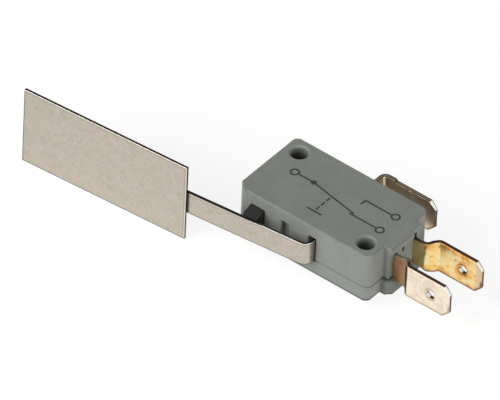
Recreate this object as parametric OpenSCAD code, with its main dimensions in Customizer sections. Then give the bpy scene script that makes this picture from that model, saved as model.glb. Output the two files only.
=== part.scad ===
// Snap-action micro switch with a long strip lever and a flag paddle.
// Origin: midway between the two mounting holes, on the outer face of the cover.
// X runs along the body towards the terminals, -Y is the plunger side, Z is the thickness.

/* [Body] */
// Length of the body without the terminal block
body_l = 27.8; // [27:0.1:30]
// Width of the body from the plunger side to the back wall
body_w = 15.9; // [15.5:0.1:18]
// Thickness of case and cover together
body_h = 9.9; // [9.6:0.1:11]
// Radius of three of the upright corners
corner_r = 1.2; // [0.8:0.1:1.6]
// Width of the flat that cuts off the fourth corner, beside the plunger
corner_cut = 1.45; // [1.2:0.05:1.6]
// Thickness of the moulded walls
wall_t = 1.2; // [1:0.05:1.3]
// Height of the cover, up to its seam with the case
seam_z = 2.9; // [2.5:0.1:3.1]
// Rounding of the edges round the two large faces
edge_r = 0.15; // [0.1:0.05:0.5]
// Rounding of the two edges that meet at the seam
seam_r = 0.12; // [0.05:0.01:0.2]
// Thickness of the inner ribs
rib_t = 0.8; // [0.6:0.1:1]

/* [Mounting holes] */
// Diameter of the two mounting holes
hole_d = 3.1; // [2.8:0.1:3.2]
// Distance of the holes from the ends and sides of the body
hole_inset = 2.8; // [2.7:0.05:3]
// Diameter of the bosses round the holes
boss_d = 4.8; // [4.6:0.1:4.8]
// Width and depth of the chamfer at the mouth of each hole
hole_chamfer = 0.3; // [0.1:0.05:0.5]
// Height of the ring that centres the cover in the case
spigot_h = 0.8; // [0.4:0.1:1.2]

/* [Terminal block] */
// How far the block stands out from the end of the body
block_l = 1.1; // [0.9:0.05:1.3]
// How far the lip over the front part of the block stands out past it
lip_l = 0.65; // [0.4:0.05:0.8]
// Height of that lip
lip_h = 1.1; // [0.8:0.05:1.15]
// How far the ledge of the cover stands out past the block
ledge_l = 0.8; // [0.7:0.05:1]
// Width of the flat at the front corner of that ledge
ledge_cut = 0.9; // [0.5:0.1:1]
// Height of the gap between block and ledge
block_gap = 0.3; // [0.1:0.05:0.4]
// Distance of the block from the plunger side of the body
block_front = 4.1; // [3.9:0.05:4.3]
// Distance of the ledge from the plunger side of the body
ledge_front = 3.55; // [3.4:0.05:3.8]
// Distance of the block from the back of the body
block_back = 3.5; // [3.3:0.05:3.6]

/* [Plunger] */
// Distance of the plunger from the end of the body
plunger_set = 4.55; // [4.3:0.05:4.8]
// Width of the plunger along the body
plunger_w = 2.8; // [2.2:0.1:2.8]
// Height of the plunger across the body
plunger_h = 5.3; // [4.4:0.1:5.4]
// Height of the plunger at its nose, where it tapers to
nose_h = 3.6; // [3:0.1:4.2]
// Nose radius of the plunger
nose_r = 1.6; // [1.5:0.1:2]
// Height of the shoulders that keep the plunger in the case
shoulder_h = 0.6; // [0.4:0.1:0.8]

/* [Lever] */
// Distance from the plunger to the lever pivot, along the body
lever_run = 11.9; // [11.6:0.05:12.3]
// Thickness of the lever strip
lever_t = 0.45; // [0.3:0.05:0.5]
// Width of the lever strip
lever_w = 4.55; // [4:0.05:4.6]
// Height of the lever's middle above the middle of the body
lever_up = 0.25; // [0:0.05:0.3]
// Angle of the free lever to the body
lever_angle = 5.9; // [4:0.1:7]
// Gap between the front wall and the lever at its bend
lever_gap = 1.72; // [1.4:0.02:2.4]
// Mid radius of the bend into the case
lever_bend_r = 1.5; // [1:0.1:1.8]
// Length of the lever from its bend to the paddle
lever_reach = 23.2; // [16:0.1:40]
// Small set of the strip under the paddle
paddle_set = 1.9; // [0.5:0.1:4]
// Width of each lever slot along the body
slot_w = 1.7; // [1.5:0.05:2]
// Distance between the two lever slots
slot_pitch = 5.7; // [5:0.1:6.4]
// Length of the ears that keep the lever in its slot
ear_l = 0.7; // [0.4:0.1:0.8]

/* [Paddle] */
// Length of the paddle
paddle_l = 32.8; // [20:0.1:50]
// Height of the paddle
paddle_h = 15.6; // [10:0.1:24]
// Thickness of the paddle sheet
paddle_t = 0.5; // [0.3:0.05:0.8]
// Length of lever welded behind the paddle
paddle_lap = 12; // [6:0.5:16]

/* [Terminals] */
// Width of the push-on tabs
tab_w = 6.3; // [6:0.1:6.4]
// Thickness of the terminal sheet
tab_t = 0.8; // [0.6:0.05:0.85]
// Length of the two end tabs
tab_l = 8.6; // [7:0.05:11]
// Width of the terminals where they pass through the walls
neck_w = 5.2; // [4.6:0.1:5.4]
// Length of neck and joggle outside the block
neck_l = 4.4; // [4.2:0.05:5.2]
// Chamfer at the ends of the tabs
tab_chamfer = 1.3; // [0.8:0.1:1.6]
// Diameter of the detent hole in each tab
tab_hole_d = 1.65; // [1.4:0.05:1.8]
// Distance of the detent hole from the end of the tab
tab_hole_run = 3.9; // [3.4:0.1:4.4]
// Gap between the front boss and the normally closed terminal
boss_clr = 0.15; // [0.1:0.01:0.25]
// Offset of the joggle in the normally open terminal
no_joggle = 1.7; // [1.2:0.1:2]
// Offset of the joggle in the normally closed terminal
nc_joggle = 1.3; // [1.2:0.1:2]
// How much shorter the normally closed terminal is
nc_short = 0.3; // [0:0.05:0.5]
// Place of the common terminal's leg along the body
com_x = 1.9; // [1.7:0.1:2.6]
// Distance of the common terminal's inner run from the back wall
com_set = 1.35; // [1.25:0.05:1.55]
// Distance of the common tab from the back of the body
com_tab_out = 3.6; // [3:0.05:5]
// Length of the common tab past its shoulders
com_tab_l = 8.6; // [7:0.1:10]
// Width of the common terminal at its shoulders
com_root_w = 6.9; // [6.6:0.1:8]

/* [Mechanism] */
// Thickness of the contact arm
arm_t = 0.3; // [0.2:0.05:0.4]
// Width of the contact arm, rocker and anchor fork
arm_w = 4.2; // [4:0.1:4.6]
// Width of the windows that the snap spring passes through
window_w = 2.5; // [2.4:0.1:2.7]
// Distance of the contacts from the end of the body
contact_set = 3.3; // [3.1:0.1:3.7]
// Diameter of the contact heads
contact_d = 2.6; // [2:0.1:3]
// Height of each head of the moving contact
contact_h = 0.8; // [0.6:0.05:0.9]
// Free travel of the moving contact
contact_gap = 0.5; // [0.3:0.05:0.6]
// Height of the heads of the two fixed contacts
head_h = 0.95; // [0.85:0.05:1]
// Distance of the contact arm's knife edge behind the middle of the body
arm_back = 1.15; // [1:0.05:1.4]
// Distance from the contact arm to the rocker at rest
rocker_drop = 2.15; // [2.1:0.05:2.35]
// Thickness of the rocker
rocker_t = 0.35; // [0.25:0.05:0.4]
// Thickness of the anchor fork's sheet
fork_t = 0.85; // [0.6:0.05:0.85]
// Depth of the knife-edge seats
seat_d = 0.45; // [0.3:0.05:0.5]
// Mean radius of the snap spring's coil
coil_r = 0.8; // [0.6:0.05:0.85]
// Diameter of the snap spring's wire
wire_d = 0.3; // [0.2:0.05:0.35]
// Number of coils in the snap spring
coil_n = 14; // [8:1:18]

/* [Clearances] */
// Clearance of pieces that touch or run on each other
run_clr = 0.05; // [0.03:0.01:0.1]
// Clearance of the lever in its slot
slot_clr = 0.2; // [0.1:0.05:0.3]
// Clearance of the terminals in their slots
seat_clr = 0.03; // [0.01:0.01:0.05]

/* [Hidden] */

$fn = 48;
over = 0.1;
bend_step = 6;
case_color = [0.52, 0.55, 0.52];
plunger_color = [0.08, 0.08, 0.09];
steel_color = [0.78, 0.74, 0.69];
copper_color = [0.75, 0.5, 0.34];
silver_color = [0.86, 0.86, 0.85];
spring_color = [0.7, 0.71, 0.72];
nc_color = [0.82, 0.76, 0.72];
no_color = [0.85, 0.66, 0.36];
com_color = [0.62, 0.55, 0.47];

// Levels and faces of the housing
mid_z = body_h / 2;
lever_z = mid_z + lever_up;
roof_z = body_h - wall_t;
front_y = -body_w / 2;
front_in_y = front_y + wall_t;
back_in_y = body_w / 2 - wall_t;
end_x = body_l / 2 + block_l;
hole_r = hole_d / 2;
boss_r = boss_d / 2;
spigot_r = (hole_r + boss_r) / 2;
hole_x = body_l / 2 - hole_inset;
hole_y = body_w / 2 - hole_inset;
HOLES = [[-hole_x, hole_y], [hole_x, -hole_y]];
block_y0 = front_y + block_front;
ledge_y0 = front_y + ledge_front;
block_y1 = body_w / 2 - block_back;
plunger_x = plunger_set - body_l / 2;
lever_x = plunger_x + lever_run;
contact_x = body_l / 2 - contact_set;
com_in_y = back_in_y - com_set;
com_tab_y = body_w / 2 + com_tab_out;

// Mechanism across the body, stacked up from the front boss: terminal, contact, arm, contact, terminal
arm_x = -arm_back;
nc_y = boss_r + boss_clr + tab_t / 2 - hole_y;
nc_face_y = nc_y + tab_t / 2 + head_h;
arm_y = nc_face_y + run_clr + contact_h + arm_t / 2;
no_face_y = arm_y + arm_t / 2 + contact_h + contact_gap + 2 * run_clr;
no_y = no_face_y + head_h + tab_t / 2;
step_over = 0.7;
notch_w = 0.5;
notch_d = 0.6;
notch_h = 2;
notch_set = 0.5;
step_y = no_y - tab_t / 2 - step_over;
rocker_y = arm_y - rocker_drop;

// Lever line, from its pivot behind the front wall to the bend and along the strip
ear_y = front_in_y + run_clr;
ear_d = 0.5;
lever_y = front_y - lever_gap - lever_t / 2;
bend_tangent = lever_bend_r * tan((90 - lever_angle) / 2);
set_r = 6;
set_tangent = set_r * tan(paddle_set / 2);
slot_x = lever_x + lever_t / 2 + slot_clr - slot_w / 2;
keeper_y = ear_y + ear_d + 2 * slot_clr;
inner_r = 0.3;

// Plunger, from its nose under the lever to its tip on the rocker
lever_rear_y = lever_y - lever_run * tan(lever_angle) + lever_t / 2 / cos(lever_angle);
nose_y = lever_rear_y + (nose_r + run_clr) / cos(lever_angle) - nose_r;
tip_r = plunger_w / 2;
tip_y = rocker_y - rocker_t / 2 - run_clr;
shoulder_y = front_in_y + run_clr;
plunger_in_h = plunger_h + 2 * shoulder_h;
guide_l = 2.4;
guide_y = front_in_y + guide_l;

// Anchor fork and its two knife-edge seats
fork_x1 = arm_x - run_clr + seat_d;
fork_w = 1.25;
fork_x0 = fork_x1 - fork_w;
rocker_x = fork_x0 + seat_d - run_clr;
fork_over = 0.9;
fork_y0 = rocker_y - fork_over;
fork_y1 = com_in_y - tab_t / 2;
fork_base_l = 6.2;
fork_base_x = (fork_x0 + fork_x1) / 2 - fork_base_l / 2;
rivet_d = 1.2;
rivet_head_d = 1.8;
rivet_head_h = 0.4;
rivet_pitch = 2.7;
RIVETS = [fork_base_x + fork_base_l / 2 - rivet_pitch / 2, fork_base_x + fork_base_l / 2 + rivet_pitch / 2];

// Rocker tongue and contact arm hook, which hold the two ends of the spring
tongue_gap = 0.3;
tongue_x = plunger_x + tip_r + tongue_gap;
tongue_w = 1.6;
hook_bar = 0.5;
rocker_hook_r = 0.9;
tongue_hole_d = 1.05;
hook_drop = 0.5;
rocker_hook_y = arm_y - hook_drop;
tongue_end_y = rocker_hook_y + hook_bar / 2;
tongue_hole_y = rocker_hook_y - hook_bar / 2 - tongue_hole_d / 2;
rocker_over = 0.2;
rocker_l = plunger_w / 2 + rocker_over;
arm_bar = 0.6;
hook_set = 3.9;
arm_hook_x = contact_x - hook_set;
arm_hook_r = 0.75;
arm_hole_d = 1.1;
arm_over = 0.1;
arm_end_x = contact_x + contact_d / 2 + arm_over;

// Contact shanks and the blades that carry them
shank_d = contact_d / 2;
blade_over = 0.7;
blade_x0 = contact_x - contact_d / 2 - blade_over;

// Terminal joggle
joggle_angle = 52;
joggle_r = 0.8;
tab_x0 = end_x + neck_l;
shoulder_back = 3.1;
shoulder_run = 2;
com_bend_r = 1;
com_in_x = fork_base_x;
com_root_l = 2.4;

// Rounded rectangle of a given size, centred
module rounded_rect(l, w, r) {
  square([l, w - 2 * r], center = true);
  square([l - 2 * r, w], center = true);
  for (sx = [-1, 1], sy = [-1, 1]) {
    translate([sx * (l / 2 - r), sy * (w / 2 - r)])
      circle(r);
  }
}

// Outline of the body with what stands out at its end by a given length: from a front line y0 on, its
// back part stepped back and its front corner cut off
module body_outline(out, step, cut, y0) {
  x = body_l / 2;
  difference() {
    rounded_rect(body_l, body_w, corner_r);
    polygon([[-x - over, front_y - over], [-x + corner_cut + over, front_y - over],
             [-x - over, front_y + corner_cut + over]]);
  }
  front = cut > 0 ? [[x + out - cut, y0], [x + out, y0 + cut]] : [[x + out, y0]];
  back = step > 0 ? [[x + out, step_y], [x + out - step, step_y]] : [];
  polygon(concat([[0, y0]], front, back, [[x + out - step, block_y1], [0, block_y1]]));
}

// Outline of the hollow inside the walls
module inner_outline() {
  rounded_rect(body_l - 2 * wall_t, body_w - 2 * wall_t, inner_r);
}

// Section of the material that an edge of a given radius takes away
module edge_section(er) {
  difference() {
    translate([-er, -er])
      square(er + over);
    translate([-er, -er])
      circle(er);
  }
}

// One straight length of rounded edge, from a start point along a heading
module edge_run(from, heading, l, er) {
  translate([from[0], from[1], 0])
    rotate([90, 0, heading + 90])
      linear_extrude(l)
        edge_section(er);
}

// Cutter that rounds the edges of a face at z = 0, facing up, with the same outline
module edge_cutter(out, step, cut, y0, er) {
  x = body_l / 2;
  y = body_w / 2;
  r = corner_r;
  c = corner_cut;
  for (a = [0, 1, 3]) {
    sx = a == 1 ? -1 : 1;
    sy = a == 3 ? -1 : 1;
    translate([sx * (x - r), sy * (y - r), 0])
      rotate(90 * a)
        rotate_extrude(angle = 90)
          translate([r, 0])
            edge_section(er);
  }
  edge_run([x - r, y], 180, 2 * (x - r), er);
  edge_run([-x, y - r], 270, 2 * y - r - c, er);
  edge_run([-x, -y + c], 315, c * sqrt(2), er);
  edge_run([-x + c, -y], 0, 2 * x - r - c, er);
  edge_run([x, -y + r], 90, y0 + y - r, er);
  edge_run([x, block_y1], 90, y - r - block_y1, er);
  if (cut > 0) {
    edge_run([x + out - cut, y0], 45, cut * sqrt(2), er);
  }
  edge_run([x + out, y0 + cut], 90, (step > 0 ? step_y : block_y1) - y0 - cut, er);
  if (step > 0) {
    edge_run([x + out - step, step_y], 90, block_y1 - step_y, er);
  }
}

// Bore through a boss, with a chamfer at a given mouth
module bore(z0, z1, mouth_z, side) {
  translate([0, 0, z0])
    cylinder(h = z1 - z0, r = hole_r);
  translate([0, 0, mouth_z])
    rotate([side > 0 ? 180 : 0, 0, 0])
      translate([0, 0, -over])
        cylinder(h = hole_chamfer + over, r1 = hole_r + hole_chamfer + over, r2 = hole_r);
}

// Passages through the front wall for the plunger, the lever and the spare lever position
module front_passages() {
  plunger_slot_h = plunger_h + 2 * run_clr;
  plunger_slot_w = plunger_w + 2 * run_clr;
  lever_slot_h = lever_w + 2 * slot_clr;
  translate([plunger_x - plunger_slot_w / 2, front_y - over, mid_z - plunger_slot_h / 2])
    cube([plunger_slot_w, wall_t + 2 * over, plunger_slot_h]);
  for (x = [slot_x, slot_x - slot_pitch]) {
    translate([x - slot_w / 2, front_y - over, lever_z - lever_slot_h / 2])
      cube([slot_w, wall_t + 2 * over, lever_slot_h]);
  }
}

// Passages through the end block and the back wall for the terminals, up to a given height
module terminal_passages(top) {
  w = tab_t + 2 * seat_clr;
  z0 = mid_z - neck_w / 2 - seat_clr;
  inner_x = body_l / 2 - wall_t;
  for (y = [nc_y, no_y]) {
    translate([inner_x - over, y - w / 2, z0])
      cube([block_l + ledge_l + wall_t + 2 * over, w, top - z0]);
  }
  translate([com_x - w / 2, back_in_y - over, z0])
    cube([w, wall_t + 2 * over, top - z0]);
}

// Ribs inside the case that guide the plunger, keep the lever and back up the terminals
module case_ribs() {
  h = roof_z - seam_z + over;
  guide_x = plunger_w / 2 + run_clr;
  for (x = [plunger_x - guide_x - rib_t, plunger_x + guide_x]) {
    translate([x, front_in_y - over, seam_z])
      cube([rib_t, guide_y - front_in_y + over, h]);
  }
  for (x = [lever_x, lever_x - slot_pitch]) {
    translate([x - slot_w / 2, keeper_y, seam_z])
      cube([slot_w, rib_t, h]);
  }
  no_back_y = no_y + tab_t / 2 + run_clr;
  translate([contact_x - rib_t / 2, no_back_y, seam_z])
    cube([rib_t, back_in_y - no_back_y + over, h]);
  com_back_y = com_in_y + tab_t / 2 + run_clr;
  translate([(fork_x0 + fork_x1 - rib_t) / 2, com_back_y, seam_z])
    cube([rib_t, back_in_y - com_back_y + over, h]);
}

module case() {
  color(case_color)
    difference() {
      union() {
        difference() {
          union() {
            translate([0, 0, seam_z])
              linear_extrude(body_h - seam_z)
                body_outline(block_l, 0, 0, block_y0);
            translate([hole_x, block_y0, body_h - lip_h])
              cube([end_x + lip_l - hole_x, step_y - block_y0, lip_h]);
          }
          translate([0, 0, seam_z - over])
            linear_extrude(roof_z - seam_z + over)
              inner_outline();
          translate([0, 0, body_h])
            edge_cutter(block_l + lip_l, lip_l, 0, block_y0, edge_r);
          translate([0, 0, seam_z])
            mirror([0, 0, 1])
              edge_cutter(block_l, 0, 0, block_y0, seam_r);
          translate([body_l / 2, block_y0 - over, seam_z - over])
            cube([block_l + over, block_y1 - block_y0 + 2 * over, block_gap + over]);
        }
        for (p = HOLES) {
          translate([p[0], p[1], seam_z])
            cylinder(h = roof_z - seam_z + over, r = boss_r);
        }
        case_ribs();
      }
      for (p = HOLES) {
        translate([p[0], p[1], 0]) {
          bore(seam_z - over, body_h + over, body_h, 1);
          translate([0, 0, seam_z - over])
            cylinder(h = spigot_h + over + run_clr, r = spigot_r + run_clr);
        }
      }
      front_passages();
      terminal_passages(roof_z);
      translate([end_x - notch_d, (nc_y + no_y - notch_w) / 2 - notch_set, body_h - lip_h - notch_h])
        cube([notch_d + over, notch_w, notch_h]);
    }
}

module cover() {
  color(case_color)
    difference() {
      union() {
        difference() {
          linear_extrude(seam_z)
            body_outline(block_l + ledge_l, lip_l, ledge_cut, ledge_y0);
          translate([0, 0, wall_t])
            linear_extrude(seam_z)
              inner_outline();
          mirror([0, 0, 1])
            edge_cutter(block_l + ledge_l, lip_l, ledge_cut, ledge_y0, edge_r);
          translate([0, 0, seam_z])
            edge_cutter(block_l + ledge_l, lip_l, ledge_cut, ledge_y0, seam_r);
        }
        for (p = HOLES) {
          translate([p[0], p[1], wall_t - over])
            cylinder(h = seam_z - wall_t + over, r = boss_r);
          translate([p[0], p[1], seam_z - over])
            cylinder(h = spigot_h + over, r = spigot_r);
        }
      }
      for (p = HOLES) {
        translate([p[0], p[1], 0])
          bore(-over, seam_z + spigot_h + over, 0, -1);
      }
      front_passages();
      terminal_passages(roof_z);
    }
}

// Shank with one round end at y = 0, reaching back by a given length
module round_ended(w, r, l) {
  intersection() {
    translate([-w / 2, 0])
      square([w, l]);
    union() {
      translate([0, r])
        circle(r);
      translate([-w / 2, r])
        square([w, l]);
    }
  }
}

module plunger() {
  color(plunger_color)
    translate([plunger_x, 0, mid_z]) {
      intersection() {
        translate([0, nose_y, -plunger_h / 2])
          linear_extrude(plunger_h)
            round_ended(plunger_w, nose_r, shoulder_y - nose_y + over);
        translate([plunger_w, 0, 0])
          rotate([0, -90, 0])
            linear_extrude(2 * plunger_w)
              polygon([[-nose_h / 2, nose_y], [nose_h / 2, nose_y], [plunger_h / 2, front_y],
                       [plunger_h / 2, tip_y], [-plunger_h / 2, tip_y], [-plunger_h / 2, front_y]]);
      }
      translate([0, tip_y, -plunger_in_h / 2])
        mirror([0, 1, 0])
          linear_extrude(plunger_in_h)
            round_ended(plunger_w, tip_r, tip_y - shoulder_y);
    }
}

// Edge line of a bent strip at an offset from its mid line. Each step is a straight run, then a turn
// to the left (positive) or right at a mid radius, drawn as points along the arc.
function strip_edge(steps, off, at = [0, 0], dir = 0, i = 0) =
  i >= len(steps) ? [] :
  let(run = steps[i][0],
      turn = steps[i][1],
      r = steps[i][2],
      corner = at + run * [cos(dir), sin(dir)],
      centre = corner + sign(turn) * r * [-sin(dir), cos(dir)],
      n = ceil(abs(turn) / bend_step),
      out = off - sign(turn) * r,
      next = centre - sign(turn) * r * [-sin(dir + turn), cos(dir + turn)])
  concat(i == 0 ? [at + off * [-sin(dir), cos(dir)]] : [],
         [corner + off * [-sin(dir), cos(dir)]],
         [for (k = [1 : 1 : n]) centre + out * [-sin(dir + turn * k / n), cos(dir + turn * k / n)]],
         strip_edge(steps, off, next, dir + turn, i + 1));

// Bent strip of sheet that starts along +X, centred on its mid line and on its width
module strip(steps, t, w) {
  left = strip_edge(steps, t / 2);
  right = strip_edge(steps, -t / 2);
  translate([0, 0, -w / 2])
    linear_extrude(w)
      polygon(concat(left, [for (i = [len(right) - 1 : -1 : 0]) right[i]]));
}

// Strip of the lever, from its leg in the case to the end behind the paddle
module lever() {
  leg = ear_y + ear_d - lever_y - bend_tangent;
  color(steel_color)
    translate([lever_x, ear_y + ear_d, lever_z])
      rotate(-90) {
        strip([[leg, lever_angle - 90, lever_bend_r],
               [lever_reach - bend_tangent - set_tangent, -paddle_set, set_r],
               [paddle_lap, 0, 0]], lever_t, lever_w);
        translate([0, -lever_t / 2, -lever_w / 2 - ear_l])
          cube([ear_d, lever_t, lever_w + 2 * ear_l]);
      }
}

// Flat plate on the outer side of the strip's end
module paddle() {
  color(steel_color)
    translate([lever_x, lever_y, lever_z])
      rotate(lever_angle - 180)
        translate([lever_reach, 0, 0])
          rotate(-paddle_set)
            translate([0, lever_t / 2, -paddle_h / 2])
              cube([paddle_l, paddle_t, paddle_h]);
}

// Side view of an end terminal: neck, shoulders, tab with chamfered end and detent hole
module end_tab_profile(x0, tab_x) {
  x1 = tab_x + tab_l;
  s0 = tab_x - shoulder_back;
  s1 = s0 + shoulder_run;
  difference() {
    polygon([[x0, -neck_w / 2], [s0, -neck_w / 2], [s1, -tab_w / 2],
             [x1 - tab_chamfer, -tab_w / 2], [x1, -tab_w / 2 + tab_chamfer],
             [x1, tab_w / 2 - tab_chamfer], [x1 - tab_chamfer, tab_w / 2],
             [s1, tab_w / 2], [s0, neck_w / 2], [x0, neck_w / 2]]);
    translate([x1 - tab_hole_run, 0])
      circle(d = tab_hole_d);
  }
}

// End terminal at a place across the body, with its joggle to one side by an offset, up to a tab that
// starts at tab_x
module end_terminal(y, side, offset, tab_x) {
  joggle_run = (offset - 2 * joggle_r * (1 - cos(joggle_angle))) / sin(joggle_angle);
  joggle_x = 2 * joggle_r * sin(joggle_angle) + joggle_run * cos(joggle_angle);
  run_in = tab_x - joggle_x - blade_x0;
  difference() {
    intersection() {
      translate([blade_x0, y, mid_z])
        strip([[run_in, side * joggle_angle, joggle_r],
               [joggle_run, -side * joggle_angle, joggle_r],
               [tab_l, 0, 0]], tab_t, tab_w);
      translate([0, body_w, mid_z])
        rotate([90, 0, 0])
          linear_extrude(2 * body_w)
            end_tab_profile(blade_x0, tab_x);
    }
    translate([contact_x, y, mid_z])
      rotate([90, 0, 0])
        cylinder(h = 2 * tab_t, d = shank_d + 2 * seat_clr, center = true);
  }
}

module nc_terminal() {
  color(nc_color)
    end_terminal(nc_y, -1, nc_joggle, tab_x0 - nc_short);
}

module no_terminal() {
  color(no_color)
    end_terminal(no_y, 1, no_joggle, tab_x0);
}

// Side view of the common terminal: inner run, shoulders and tab
module common_profile() {
  root_x = com_x + com_root_l;
  x1 = root_x + com_tab_l;
  difference() {
    union() {
      translate([com_in_x, -neck_w / 2])
        square([com_x + com_bend_r - com_in_x, neck_w]);
      polygon([[root_x, -tab_w / 2], [x1 - tab_chamfer, -tab_w / 2], [x1, -tab_w / 2 + tab_chamfer],
               [x1, tab_w / 2 - tab_chamfer], [x1 - tab_chamfer, tab_w / 2], [root_x, tab_w / 2]]);
    }
    translate([x1 - tab_hole_run, 0])
      circle(d = tab_hole_d);
  }
}

module com_terminal() {
  y_out = com_tab_y - com_in_y;
  root_x = com_x + com_root_l;
  color(com_color)
    difference() {
      intersection() {
        translate([com_in_x, com_in_y, mid_z])
          strip([[com_x - com_bend_r - com_in_x, 90, com_bend_r],
                 [y_out - 2 * com_bend_r, -90, com_bend_r],
                 [com_root_l + com_tab_l - com_bend_r, 0, 0]], tab_t, com_root_w);
        union() {
          translate([0, com_tab_y + body_w, mid_z])
            rotate([90, 0, 0])
              linear_extrude(3 * body_w)
                common_profile();
          translate([com_x - tab_t, body_w / 2 + com_bend_r, mid_z - com_root_w / 2])
            cube([com_root_l + tab_t, com_tab_y, com_root_w]);
        }
      }
      for (x = RIVETS) {
        translate([x, com_in_y, mid_z])
          rotate([90, 0, 0])
            cylinder(h = 2 * tab_t, d = rivet_d + 2 * seat_clr, center = true);
      }
    }
}

// Rivet along +Y: a head below y = 0 of a given height and a shank of a given length
module headed_pin(head_d, head_h, pin_d, pin_l) {
  rotate([-90, 0, 0]) {
    translate([0, 0, -head_h])
      cylinder(h = head_h, d = head_d);
    cylinder(h = pin_l, d = pin_d);
  }
}

module nc_contact() {
  color(silver_color)
    translate([contact_x, nc_y + tab_t / 2, mid_z])
      rotate(180)
        headed_pin(contact_d, head_h, shank_d, tab_t);
}

module no_contact() {
  color(silver_color)
    translate([contact_x, no_y - tab_t / 2, mid_z])
      headed_pin(contact_d, head_h, shank_d, tab_t);
}

module moving_contact() {
  color(silver_color)
    translate([contact_x, arm_y - arm_t / 2, mid_z]) {
      headed_pin(contact_d, contact_h, shank_d, arm_t);
      translate([0, arm_t, 0])
        rotate(180)
          headed_pin(contact_d, contact_h, shank_d, arm_t);
    }
}

// Folded fork: a base on the common terminal and two cheeks with a knife-edge seat on each side
module anchor_bracket() {
  cheek_l = fork_y1 - fork_y0;
  color(copper_color)
    difference() {
      union() {
        translate([fork_base_x, fork_y1 - fork_t, mid_z - arm_w / 2])
          cube([fork_base_l, fork_t, arm_w]);
        for (z = [mid_z - arm_w / 2, mid_z + window_w / 2]) {
          translate([fork_x0, fork_y0, z])
            cube([fork_x1 - fork_x0, cheek_l, (arm_w - window_w) / 2]);
        }
      }
      arm_seat = arm_t + 4 * run_clr;
      translate([fork_x1 - seat_d, arm_y - arm_seat / 2, mid_z - arm_w / 2 - over])
        cube([seat_d + over, arm_seat, arm_w + 2 * over]);
      rocker_seat = rocker_t + 6 * run_clr;
      translate([fork_x0 - over, rocker_y - rocker_seat / 2, mid_z - arm_w / 2 - over])
        cube([seat_d + over, rocker_seat, arm_w + 2 * over]);
      for (x = RIVETS) {
        translate([x, fork_y1, mid_z])
          rotate([90, 0, 0])
            cylinder(h = 3 * fork_t, d = rivet_d + 2 * seat_clr, center = true);
      }
    }
}

// Two rivets with a head on each side of bracket and terminal
module anchor_rivets() {
  grip = fork_t + tab_t;
  color(copper_color)
    for (x = RIVETS) {
      translate([x, fork_y1 - fork_t, mid_z]) {
        headed_pin(rivet_head_d, rivet_head_h, rivet_d, grip);
        translate([0, grip, 0])
          rotate(180)
            headed_pin(rivet_head_d, rivet_head_h, rivet_d, grip);
      }
    }
}

// Strip under the plunger, with a tongue bent out of its own window for the spring
module rocker() {
  x0 = plunger_x - rocker_l;
  rear_y = rocker_y + rocker_t / 2;
  tongue_l = tongue_end_y - rear_y;
  color(steel_color)
    difference() {
      union() {
        translate([x0, rocker_y - rocker_t / 2, mid_z - arm_w / 2])
          cube([rocker_x - x0, rocker_t, arm_w]);
        translate([tongue_x, rear_y - over, mid_z - tongue_w / 2])
          cube([rocker_t, tongue_l + over, tongue_w]);
      }
      translate([tongue_x + rocker_t, rocker_y - rocker_t, mid_z - tongue_w / 2])
        cube([tongue_l, 2 * rocker_t, tongue_w]);
      translate([tongue_x - over, tongue_hole_y, mid_z])
        rotate([0, 90, 0])
          cylinder(h = rocker_t + 2 * over, d = tongue_hole_d);
    }
}

// Arm with two knife edges, a window for the spring, a hook hole and the contact hole
module contact_arm() {
  window_x1 = arm_hook_x - arm_bar / 2;
  color(copper_color)
    translate([0, arm_y + arm_t / 2, mid_z])
      rotate([90, 0, 0])
        linear_extrude(arm_t)
          difference() {
            translate([arm_x, -arm_w / 2])
              square([arm_end_x - arm_x, arm_w]);
            translate([arm_x - over, -window_w / 2])
              square([window_x1 - arm_x + over, window_w]);
            translate([arm_hook_x + arm_bar / 2 + arm_hole_d / 2, 0])
              circle(d = arm_hole_d);
            translate([contact_x, 0])
              circle(d = shank_d + 2 * seat_clr);
          }
}

// Spring line in its own frame: x runs from the rocker hook to the arm hook
spring_from = [tongue_x + rocker_t / 2, rocker_hook_y];
spring_to = [arm_hook_x, arm_y];
spring_l = norm(spring_to - spring_from);
spring_angle = atan2(spring_to[1] - spring_from[1], spring_to[0] - spring_from[0]);
rocker_lead = 2.6;
arm_lead = 2.3;
lead_run = 0.9;
coil_x0 = rocker_lead;
coil_l = spring_l - rocker_lead - arm_lead;
coil_x1 = coil_x0 + coil_l;
coil_sides = 6;
coil_step = 30;
hook_from = 50;
hook_to = 300;
hook_step = 25;
// Points of the leads, where the wire spirals out to the coil radius over half a turn
LEADS = [for (a = [0 : coil_step : 180]) [a / 180, cos(a), sin(a)]];
spring_path = concat(
  [for (a = [hook_from : hook_step : hook_to]) rocker_hook_r * [cos(a), sin(a), 0]],
  [for (p = LEADS) [coil_x0 - lead_run * (1 - p[0]), coil_r * p[0] * p[1], coil_r * p[0] * p[2]]],
  [for (a = [coil_step : coil_step : 360 * coil_n])
    [coil_x0 + coil_l * a / (360 * coil_n), -coil_r * cos(a), -coil_r * sin(a)]],
  [for (i = [len(LEADS) - 2 : -1 : 0], p = [LEADS[i]])
    [coil_x1 + lead_run * (1 - p[0]), coil_r * p[0] * p[1], -coil_r * p[0] * p[2]]],
  [for (a = [hook_to : -hook_step : hook_from]) [spring_l - arm_hook_r * cos(a), arm_hook_r * sin(a), 0]]);

function unit(v) = v / norm(v);
function heading(path, i) = unit(path[min(i + 1, len(path) - 1)] - path[max(i - 1, 0)]);
function across(v, t) = unit(v - (v * t) * t);

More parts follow.
